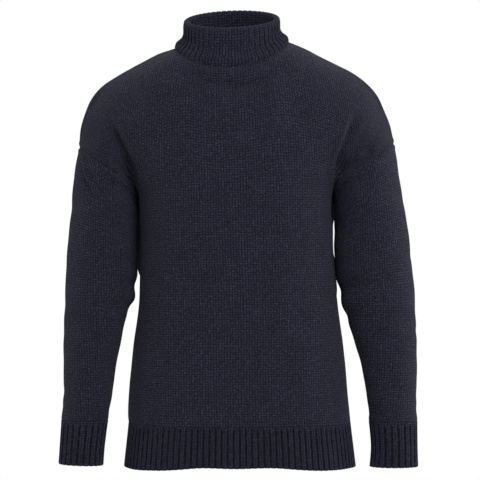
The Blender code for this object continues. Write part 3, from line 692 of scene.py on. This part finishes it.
def body_skins(side):
    """Outer and inner skin of a panel, with its creases, slack and seams, and its stitches."""
    grid = fine_panel(side)
    normal = grid_normals(grid)
    normal = normal * np.sign((normal[..., 1] * side).mean())
    from_right = lengths(grid, 1)
    from_left = from_right[:, -1:] - from_right
    low = BODY_ROWS * ROWS_FINER
    turn = np.linspace(0, np.pi, len(grid) - low)
    joined = np.clip((turn - SEAM_TURN) / SEAM_TURN_SPAN, 0, 1)[:, None]
    for row, distance in ((RIGHT_SLEEVE[0], from_right), (LEFT_SLEEVE[0], from_left)):
        share = (joined * np.exp(-((distance[low:] / SEAM_BLEND) ** 2)))[..., None]
        ring = armhole_normals(row, -side * turn)[:, None, :]
        normal[low:] = unit(normal[low:] * (1 - share) + ring * share)
    x, z = grid[..., 0], grid[..., 2]
    shift = -sum(stroke(x, z, row) for row in BODY_CREASES if row[7] == side)
    shift += waviness(x, z, 11 + side, 60, SLACK)
    from_side = np.minimum(from_right, from_left)
    up = lengths(grid, 0)
    from_top = up[-1:] - up
    fade = np.clip(from_side / 14, 0, 1) * np.clip(from_top / 10, 0, 1) * np.clip(up / 16, 0, 1)
    shift *= fade * (2 - fade)
    if side > 0:
        shift += underarm_folds(from_right, from_left, z)
    armhole = (np.arange(len(grid)) >= BODY_ROWS * ROWS_FINER)[:, None]
    shift += np.where(armhole, seam_profile(from_side), seam_profile(from_side, 0.3, 0.6))
    columns = grid.shape[1]
    on_shoulder = np.abs(np.arange(columns) - columns / 2) > NECK_COLUMNS * COLUMNS_FINER / 2
    shift += np.where(on_shoulder, seam_profile(from_top, 0.5, 0.7), 0)
    shift -= HEM_DRAWN_IN * np.exp(-up / DRAWN_SPAN)
    outer = grid + normal * shift[..., None]
    inner = outer - normal * WALL
    return outer, inner, stitch_grid(grid, columns // 2)


def cut_size(grid):
    """Flat width, length and area, in metres, of the cloth that a grid lies on."""
    width = lengths(grid, 1)[:, -1].max() * MM
    length = lengths(grid, 0)[-1].max() * MM
    along = np.gradient(grid, axis=1)
    up = np.gradient(grid, axis=0)
    area = np.linalg.norm(np.cross(along, up), axis=2).sum() * MM**2
    print("  cut from %.3f by %.3f m, %.4f m2" % (width, length, area))
    return (width, length), min(area, width * length)


def dress(node, slot, outer, inner, stitches, closed=False):
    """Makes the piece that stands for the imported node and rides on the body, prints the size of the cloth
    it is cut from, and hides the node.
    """
    piece = knit_piece(node + "_knit", outer, inner, stitches, KNIT[slot], closed)
    flat, area = cut_size(closed_up(outer) if closed else outer)
    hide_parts(node)
    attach(piece, "root")


body_tops = []
for node, side in (("front_panel", -1), ("back_panel", 1)):
    outer, inner, stitches = body_skins(side)
    body_tops.append(outer)
    dress(node, "plain_knit", outer, inner, stitches)

# %% [markdown]
# ## Sleeves
# Each sleeve is a tube knitted from the cuff up, so its wales run along the arm and end at the
# seam under it. The tube could be a curve with a bevel, but its sections change from a slanted
# oval at the armhole to a narrow one at the cuff. So each row is an oval between an outer and an
# inner point, and the creases at the elbow and the wrist are bells round the arm.
# %% Creases of the sleeves
# middle z, half width, depth, middle of the arc and its half width in degrees, climb in mm a degree.
# 0 degrees is the inner side, 90 the front, 180 the outer side and 270 the back.
RIGHT_SLEEVE_CREASES = np.array([
    (-213, 8, -4.6, 127, 26, 1.39),
    (-229, 10, 3.4, 124, 26, 1.39),
    (-197, 9, 2.2, 130, 24, 1.39),
    (-236, 9, 3.4, 62, 42, 0.30),
    (-262, 14, 2.0, 130, 55, -0.20),
    (-300, 26, 3.0, 75, 50, 0.25),
    (-352, 12, 2.2, 60, 60, 0.22),
    (-392, 11, 4.0, 40, 65, 0.20),
    (-410, 9, -2.0, 60, 60, 0.20),
    (-432, 10, 3.4, 20, 70, 0.10),
    (-470, 14, 1.8, 120, 60, -0.12),
    (-522, 16, 2.4, 60, 60, 0.18),
    (-566, 10, 1.8, 140, 60, -0.15),
    (-600, 8, 3.0, 95, 85, 0.05),
    (-300, 14, 3.0, 270, 60, -0.25),
    (-385, 12, 4.0, 300, 70, -0.20),
    (-420, 11, 3.4, 250, 60, 0.15),
    (-500, 16, 2.6, 280, 60, -0.18),
    (-600, 9, 2.8, 265, 80, 0.05),
])
LEFT_SLEEVE_CREASES = np.array([
    (-226, 9, 3.6, 62, 42, 0.50),
    (-210, 8, -2.4, 84, 44, 0.50),
    (-250, 14, 2.2, 130, 55, -0.20),
    (-292, 24, 3.2, 60, 48, 0.25),
    (-344, 10, 2.0, 140, 50, -0.15),
    (-398, 11, 4.0, 45, 65, 0.22),
    (-418, 9, -2.0, 60, 60, 0.22),
    (-446, 10, 3.4, 25, 70, 0.10),
    (-470, 8, 1.8, 150, 45, -0.12),
    (-530, 16, 2.4, 70, 60, 0.16),
    (-572, 10, 1.8, 130, 60, -0.12),
    (-604, 8, 3.0, 90, 85, 0.05),
    (-296, 14, 3.0, 270, 60, -0.25),
    (-392, 12, 4.0, 300, 70, -0.20),
    (-430, 11, 3.2, 250, 60, 0.15),
    (-510, 16, 2.6, 280, 60, -0.18),
    (-604, 9, 2.8, 265, 80, 0.05),
])
SLEEVE_FINER = 7


# %% Both sleeves
def sleeve_ring(row, turn):
    """One ring: turn 0 is the inner side, a quarter the front, a half the outer side."""
    outer = np.array([row[0], 0, row[1]])
    inner = np.array([row[2], 0, row[3]])
    ring = (outer + inner) / 2 + np.cos(turn)[:, None] * (inner - outer) / 2
    ring[:, 1] = row[4] - row[5] * np.sin(turn)
    return ring


def rings(table, rows, columns):
    """Rings at even steps down a table of sections."""
    turn = np.linspace(0, 2 * np.pi, columns + 1)[:-1]
    sections = between_rows(table, np.linspace(0, len(table) - 1, rows + 1))
    return np.array([sleeve_ring(row, turn) for row in sections]), turn


def outward_normals(grid):
    """Normals of a closed tube, turned away from its middle line."""
    normal = grid_normals(grid, closed=True)
    spoke = grid - grid.mean(axis=1, keepdims=True)
    return normal * np.sign((normal * spoke).sum())


def sleeve_skins(table, creases, seed):
    """Outer and inner skin of a sleeve: ovals down the table, moved in by the creases."""
    columns = 2 * ARMHOLE_ROWS * SLEEVE_FINER
    grid, turn = rings(table, SLEEVE_ROWS * SLEEVE_FINER, columns)
    normal = outward_normals(grid)
    down = lengths(grid, 0)
    share = np.exp(-((down / SEAM_BLEND) ** 2))[..., None]
    normal = unit(normal * (1 - share) + armhole_normals(table[0], turn) * share)
    shift = np.zeros(grid.shape[:2])
    for z, width, depth, where, arc, climb in creases:
        swing = (np.degrees(turn) - where + 180) % 360 - 180
        off_line = grid[..., 2] - z - climb * swing[None, :]
        shift -= depth * np.exp(-((off_line / width) ** 2)) * np.exp(-((swing / arc) ** 2))[None, :]
    wrap = np.stack([np.cos(turn), np.sin(turn)]) * 60
    shift += waviness(down + wrap[0], down * 0.4 + wrap[1], seed, 70, SLACK)
    from_cuff = down[-1:] - down
    shift *= np.clip(down / 12, 0, 1) * np.clip(from_cuff / 10, 0, 1)
    shift += seam_profile(down)
    around = lengths(closed_up(grid), 1)
    from_seam = np.minimum(around, around[:, -1:] - around)[:, :-1]
    shift += seam_profile(from_seam, 0.2, 0.5)
    shift -= HEM_DRAWN_IN * np.exp(-from_cuff / DRAWN_SPAN)
    outer = grid + normal * shift[..., None]
    return outer, outer - normal * WALL, stitch_grid(grid, columns // 2, closed=True)


for node, table, creases, seed in (
    ("right_sleeve", RIGHT_SLEEVE, RIGHT_SLEEVE_CREASES, 5),
    ("left_sleeve", LEFT_SLEEVE, LEFT_SLEEVE_CREASES, 6),
):
    outer, inner, stitches = sleeve_skins(table, creases, seed)
    dress(node, "plain_knit", outer, inner, stitches, closed=True)

# %% [markdown]
# ## Ribs
# Rib knitting alternates two plain wales with two purl ones. The purl wales draw in behind the
# plain ones, so what shows is a ridge of two wales and a narrow dark groove. Bump alone would
# leave the outline straight, so the ridges are in the mesh: every rib has ten columns of points,
# and a formula says how far each lies under the crest. The inside is the same, half a rib on.
# Grooves deepen over the first centimetre of a band. Where the rib is stretched, as at the collar's
# front, the wales spread evenly and the groove opens.
# %% Profile of a rib
RIB_STEPS = np.array([0.0, 0.08, 0.16, 0.26, 0.38, 0.5, 0.62, 0.74, 0.84, 0.92])
GROOVE_WIDTH = 0.16  # in rib pitches
VALLEY_WIDTH = 0.09
VALLEY_SHARE = 0.28  # depth of the line between a ridge's two wales, as a share of the groove


def rib_places(ribs):
    """Where the columns of a row of ribs lie, counted in ribs; each rib starts at a groove."""
    return (np.arange(ribs)[:, None] + RIB_STEPS).ravel()


def below_crest(place):
    """Share of the groove's depth at a place: a bell at each whole number for the groove, and a
    smaller one half way, between the two wales."""
    part = place % 1
    groove = np.exp(-((np.minimum(part, 1 - part) / GROOVE_WIDTH) ** 2))
    valley = np.exp(-(((part - 0.5) / VALLEY_WIDTH) ** 2))
    return groove + VALLEY_SHARE * valley


def rib_stitches(place, stretched):
    """Wales at a place: the ridge holds two, the groove none that shows. Where the rib is
    stretched, a share from 0 to 1, they spread out evenly and the groove opens."""
    part = place % 1
    start = GROOVE_WIDTH
    # In the groove the wale count stands still, so the material's stitch shade paints it dark: painted
    # shade in the groove, on top of the real dip in the mesh; where the rib is stretched it gets less of it
    drawn_in = 2 * (np.floor(place) + np.clip((part - start) / (1 - 2 * start), 0, 1))
    return drawn_in + (2 * place - drawn_in) * stretched


# %% A band of rib
RIB_WALL = 4.6
GROOVE = 2.4
INSIDE_GROOVE = 1.2
INSIDE_SHARE = 0.6  # of which this much moves the inner skin
EDGE_STEPS = 5
EDGE_TURN = np.radians(84)  # just short of a quarter turn, so that the two skins don't touch
SCALLOP = 0.9  # how far the edge rises at each groove
SOFT_START = 0.16  # share of the band over which the grooves deepen, below the plain cloth


def deepened(down):
    """How deep the grooves are at a place down the band, 0 to 1: an S-shaped rise."""
    rise = np.clip(down / SOFT_START, 0, 1)[:, None]
    return rise**2 * (3 - 2 * rise)


def band_profile(rows):
    """How a band's skins run down to its free edge: the place down the band, the inset from the
    outer face and the drop below it. Both skins take a quarter turn at the edge."""
    straight = np.linspace(0, 1, rows)
    turn = np.linspace(0, EDGE_TURN, EDGE_STEPS + 1)[1:]
    radius = RIB_WALL / 2
    down = np.concatenate([straight, np.ones(EDGE_STEPS)])
    inset = np.concatenate([np.zeros(rows), radius * (1 - np.cos(turn))])
    drop = np.concatenate([np.zeros(rows), radius * np.sin(turn)])
    return down, inset, drop


def band_skins(curve_at, place, rows, closed):
    """Outer and inner skin of a band. curve_at gives the crest line at a share of the way down."""
    down, inset, drop = band_profile(rows)
    crests = np.array([curve_at(share) for share in down])
    if closed:
        run = np.roll(crests, -1, axis=1) - np.roll(crests, 1, axis=1)
    else:
        run = np.gradient(crests, axis=1)
    normal = unit(np.stack([run[..., 1], -run[..., 0], np.zeros_like(run[..., 0])], axis=-1))
    middle = crests.mean(axis=(0, 1))
    normal *= np.sign((normal * (crests - middle)).sum())
    if not closed:
        normal[:, [0, -1], 1] = 0
        normal = unit(normal)
    fade = np.cos(np.pi * inset / RIB_WALL)[:, None]
    relief = GROOVE * below_crest(place)[None, :] * fade * deepened(down)
    relief_inside = INSIDE_GROOVE * below_crest(place + 0.5)[None, :] * fade * deepened(down)
    scallop = SCALLOP * below_crest(place)[None, :] * (1 - fade)
    outer = crests - normal * (inset[:, None] + relief)[..., None]
    inner = crests - normal * (RIB_WALL - inset[:, None] - relief_inside * INSIDE_SHARE)[..., None]
    outer[..., 2] += scallop - drop[:, None]
    inner[..., 2] += scallop - drop[:, None]
    return outer, inner


def band_stitch_grid(grid, place, closed, stretched):
    """UV of a band: wales counted rib by rib, courses by the mean distance down. stretched is a
    row or a column of shares, for rib_stitches."""
    stretched = np.broadcast_to(stretched, (len(grid), len(place)))
    if closed:
        place = np.append(place, np.ceil(place[-1]))
        grid = closed_up(grid)
        stretched = closed_up(stretched)
    up = lengths(grid, 0).mean(axis=1) / COURSE
    across = rib_stitches(place, stretched)
    return np.stack([across, np.broadcast_to(-up[:, None], across.shape)], axis=-1)


BAND_ROWS = 24
# How much of the plain cloth's even wales is left at each row of a band
PLAIN_ABOVE = 1 - deepened(band_profile(BAND_ROWS)[0])


# %% Hem rib in two halves
# The last row of a band is where its rounded edge starts, so that the edge ends where the
# packed wall does
HEM = np.array([
    (-623.3, -177.0, 188.8, 116, 110, 2.6),
    (-689.7, -184.5, 197.3, 119, 113, 2.6),
])
HEM_RISE = 3.0  # how far the free edge rises at the middle, drawn up by the rib
HEM_SIDES_FALL = 6.0  # and how much lower than that it hangs at the sides
HEM_LEVEL = 0.2  # the middle share that rises evenly
HEM_FALL_SPAN = 0.35
HEM_RIBS_A_SIDE = 52


def wave_along(place, seed, depth):
    """A free edge is never level: a few slow waves along it."""
    draw = np.random.default_rng(seed)
    total = np.zeros_like(place)
    for length in (9, 15, 27):
        total += np.sin(place * 2 * np.pi / (length * draw.uniform(0.9, 1.1)) + draw.uniform(0, 6))
    return total * depth / 3


for node, side in (("front_hem_rib", -1), ("back_hem_rib", 1)):
    place = np.append(rib_places(HEM_RIBS_A_SIDE), HEM_RIBS_A_SIDE)
    share_across = place / HEM_RIBS_A_SIDE
    edge_wave = wave_along(place, 20 + side, 1.0)
    ramp = np.clip((np.abs(2 * share_across - 1) - HEM_LEVEL) / HEM_FALL_SPAN, 0, 1)
    edge_line = HEM_RISE - HEM_SIDES_FALL * ramp**2 * (3 - 2 * ramp)

    def hem_line(share):
        line = half_section(between_rows(HEM, [share])[0], side, share_across)
        line[:, 2] += (edge_wave + edge_line) * share
        return line

    outer, inner = band_skins(hem_line, place, BAND_ROWS, closed=False)
    stitches = band_stitch_grid(outer, place, False, PLAIN_ABOVE)
    dress(node, "rib_knit", outer, inner, stitches)

# %% Cuff ribs
RIGHT_CUFF = np.array([
    (-286.4, -618.3, -209.4, -618.3, -24, 34),
    (-289.0, -660, -214.6, -660, -26, 32),
    (-290.8, -687.4, -216.8, -689.7, -27, 32),
])
LEFT_CUFF = np.array([
    (297.5, -620.3, 217.6, -620.3, -24, 34),
    (297.8, -660, 220.8, -660, -26, 32),
    (298.6, -692.0, 218.6, -692.0, -27, 32),
])
CUFF_RIBS = 22

for node, table in (("right_cuff_rib", RIGHT_CUFF), ("left_cuff_rib", LEFT_CUFF)):
    place = rib_places(CUFF_RIBS)
    turn = place / CUFF_RIBS * 2 * np.pi

    def cuff_line(share):
        return sleeve_ring(between_rows(table, [share * 2])[0], turn)

    outer, inner = band_skins(cuff_line, place, BAND_ROWS, closed=True)
    stitches = band_stitch_grid(outer, place, True, PLAIN_ABOVE)
    dress(node, "rib_knit", outer, inner, stitches, closed=True)

# %% [markdown]
# ## Roll collar
# The collar is one tube of rib, sewn to the neckline, that goes up round the neck, folds over
# outwards and comes down to rest on the shoulders. It could be two tubes, but then the fold would
# have a seam. So the outer skin is one strip of rings from the free edge up, over the rim and down
# inside to the neckline, and the inner skin runs beside it, through the narrow gap in the fold.
# %% Sizes of the collar
# height between foot (0) and rim (1), half width, half depth in front, half depth behind
COLLAR_RIBBED = np.array([
    (0.00, 95.5, 80.0, 73.0),
    (0.12, 92.5, 78.5, 71.5),
    (0.34, 82.5, 73.0, 67.0),
    (0.84, 79.5, 70.5, 64.5),
    (0.96, 78.0, 69.0, 63.0),
    (1.00, 74.0, 65.0, 59.0),
    (0.95, 70.0, 61.0, 55.0),
    (0.80, 68.5, 59.5, 53.5),
])
COLLAR_HIDDEN = np.array([
    (0.80, 72.6, 63.6, 57.6),
    (0.88, 74.0, 65.0, 59.0),
    (0.80, 75.4, 66.4, 60.4),
    (0.38, 77.6, 68.8, 62.8),
    (0.16, 84.6, 72.4, 65.8),
    (0.03, 90.6, 75.6, 68.6),
])
RIM_Z = 44.0
RIM_SIDE_SLANT = 0.035
RIM_BACK_SLANT = 0.32
RIM_LEAN = -7.0
FOOT_Z = 1.5
FOOT_SLANT = 0.06
FOOT_FRONT_DROP = 43.0
FOOT_BACK_DROP = 3.0
FOOT_LIFT = 0.9
COLLAR_SEAM = 0.6
COLLAR_WALL = 3.5
COLLAR_RIBS = 52
COLLAR_GROOVE = 1.9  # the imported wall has 1.5; the photograph's ribs are deep at the sides
FREE_EDGE = COLLAR_RIBBED[0, 1:]
FREE_EDGE_OUTSIDE = (0.0, *(FREE_EDGE - 1.5))  # the rounded edge's lowest line, on the outer skin
FREE_EDGE_HIDDEN = (0.0, *(FREE_EDGE - 2.1))  # and on the hidden one
print("rim of the collar, half width %.0f mm" % COLLAR_RIBBED[5, 1])

# %% Heights of the body under the collar
NEAR_NECK = 135.0  # millimetres in plan from the neck's middle
LOWEST_NEAR_NECK = -110.0
HEIGHT_BELL = 3.5  # millimetres round a point over which heights are averaged
NO_BODY = 6.0  # there is no body where its nearest point is this far away
ABOVE = 200.0

body_cloud = np.concatenate([skin.reshape(-1, 3) for skin in body_tops])
near = np.hypot(body_cloud[:, 0] - NECK_X, body_cloud[:, 1] - NECK_Y) < NEAR_NECK
body_cloud = body_cloud[near & (body_cloud[:, 2] > LOWEST_NEAR_NECK)]
print("points of the body near the neck:", len(body_cloud))


def height_on(x, y):
    """The body's height at plan points: a mean of the heights near each, weighted by a bell of
    their distance, or far below everything where no body is."""
    gap = (x[:, None] - body_cloud[:, 0]) ** 2 + (y[:, None] - body_cloud[:, 1]) ** 2
    weight = np.exp(-gap / HEIGHT_BELL**2)
    height = weight @ body_cloud[:, 2] / np.maximum(weight.sum(axis=1), 1e-12)
    return np.where(gap.min(axis=1) < NO_BODY**2, height, -ABOVE)


# %% Rings of the collar
COARSE_TURNS = 104
COLLAR_STEPS = 66


def collar_ring(row, turn, lift):
    """A ring part of the way from the free edge (0) to the rim (1), kept clear of the body."""
    share, half_width, front, back = row
    foot_x, foot_y = oval(*FREE_EDGE, turn, NECK_Y)
    fall = np.where(np.sin(turn) >= 0, FOOT_FRONT_DROP, -FOOT_BACK_DROP) * np.sin(turn)
    level = FOOT_Z + FOOT_SLANT * (foot_x - NECK_X) - fall
    foot = np.maximum(level, height_on(foot_x, foot_y) + FOOT_LIFT)
    x, y = oval(half_width, front, back, turn, NECK_Y + RIM_LEAN * share)
    rim = RIM_Z + RIM_SIDE_SLANT * (x - NECK_X) + RIM_BACK_SLANT * (y - NECK_Y)
    z = foot + share * (rim - foot)
    return np.stack([x, y, np.maximum(z, height_on(x, y) + lift)], axis=1)


def collar_foot(turn, inwards):
    """The neckline, moved inwards in plan."""
    ring = neckline(turn)
    spoke = (ring - [NECK_X, NECK_Y, 0]) * [1, 1, 0]
    ring = ring - inwards * unit(spoke)
    ring[:, 2] += COLLAR_SEAM
    return ring


def down_profile(stack, steps):
    """Rings at even distances through a stack of uneven ones: cubic pieces, whose slope at a ring
    is the mean of the slopes beside it, each weighted by the other piece's length."""
    gap = np.linalg.norm(np.diff(stack, axis=0), axis=2).mean(axis=1)
    knot = np.concatenate([[0.0], np.cumsum(gap)])
    slope = np.diff(stack, axis=0) / gap[:, None, None]
    share = (gap[1:] / (gap[1:] + gap[:-1]))[:, None, None]
    tangent = np.concatenate([slope[:1], slope[:-1] * share + slope[1:] * (1 - share), slope[-1:]])
    at = np.linspace(0, knot[-1], steps + 1)
    low = np.clip(np.searchsorted(knot, at, side="right") - 1, 0, len(stack) - 2)
    span = gap[low][:, None, None]
    part = (at - knot[low])[:, None, None] / span
    return (
        stack[low] * (2 * part**3 - 3 * part**2 + 1)
        + tangent[low] * span * (part**3 - 2 * part**2 + part)
        + stack[low + 1] * (3 * part**2 - 2 * part**3)
        + tangent[low + 1] * span * (part**3 - part**2)
    )


def columns_round(grid, at):
    """Columns of a closed grid at these places, counted in its own columns."""
    turned = np.swapaxes(grid, 0, 1)
    turned = np.concatenate([turned[-2:], turned, turned[:3]])
    return np.swapaxes(between_rows(turned, np.asarray(at) + 2), 0, 1)


# %% Collar
INSIDE_GROOVE_COLLAR = 1.0
INSIDE_STRETCHED = 0.7  # the inner layer lies flatter than the outer one
INSIDE_FROM = 0.42  # share of the way round the fold where the inner layer starts
INSIDE_SPAN = 0.1
STRETCHED = 0.8  # share of the groove that is lost at the front, where the rib is stretched flat
STRETCHED_ARC = 0.7  # radians either side of the front

turn = np.linspace(0, 2 * np.pi, COARSE_TURNS + 1)[:-1]
shown = [collar_ring(FREE_EDGE_OUTSIDE, turn, FOOT_LIFT)]
shown += [collar_ring(row, turn, FOOT_LIFT + COLLAR_WALL) for row in COLLAR_RIBBED[1:]]
shown.append(collar_foot(turn, WALL))
hidden = [collar_ring(FREE_EDGE_HIDDEN, turn, FOOT_LIFT)]
hidden += [collar_ring(row, turn, FOOT_LIFT) for row in COLLAR_HIDDEN[::-1]]
hidden.append(collar_foot(turn, 0.0))

place = rib_places(COLLAR_RIBS)
at = place / COLLAR_RIBS * COARSE_TURNS
outer = columns_round(down_profile(np.array(shown), COLLAR_STEPS), at)
inner = columns_round(down_profile(np.array(hidden), COLLAR_STEPS), at)

normal = grid_normals(outer, closed=True)
spoke = (outer - [NECK_X, NECK_Y, 0]) * [1, 1, 0]
outside_rows = COLLAR_STEPS // 3
normal *= np.sign((normal * spoke)[:outside_rows].sum())
fine_turn = place / COLLAR_RIBS * 2 * np.pi
at_front = np.exp(-(((fine_turn - np.pi / 2) / STRETCHED_ARC) ** 2))
down = np.linspace(0, 1, COLLAR_STEPS + 1)[:, None]
layer = np.clip((down - INSIDE_FROM) / INSIDE_SPAN, 0, 1)
depth = COLLAR_GROOVE * (1 - STRETCHED * at_front) * (1 - layer) + INSIDE_GROOVE_COLLAR * layer
depth = depth * np.clip(down * 25, 0, 1) * np.clip((1 - down) * 15, 0, 1)
outer = outer - normal * (depth * below_crest(place))[..., None]

stretched = np.maximum(at_front, INSIDE_STRETCHED * layer)
stitches = band_stitch_grid(outer, place, True, stretched)
dress("roll_collar", "rib_knit", outer, inner, stitches, closed=True)
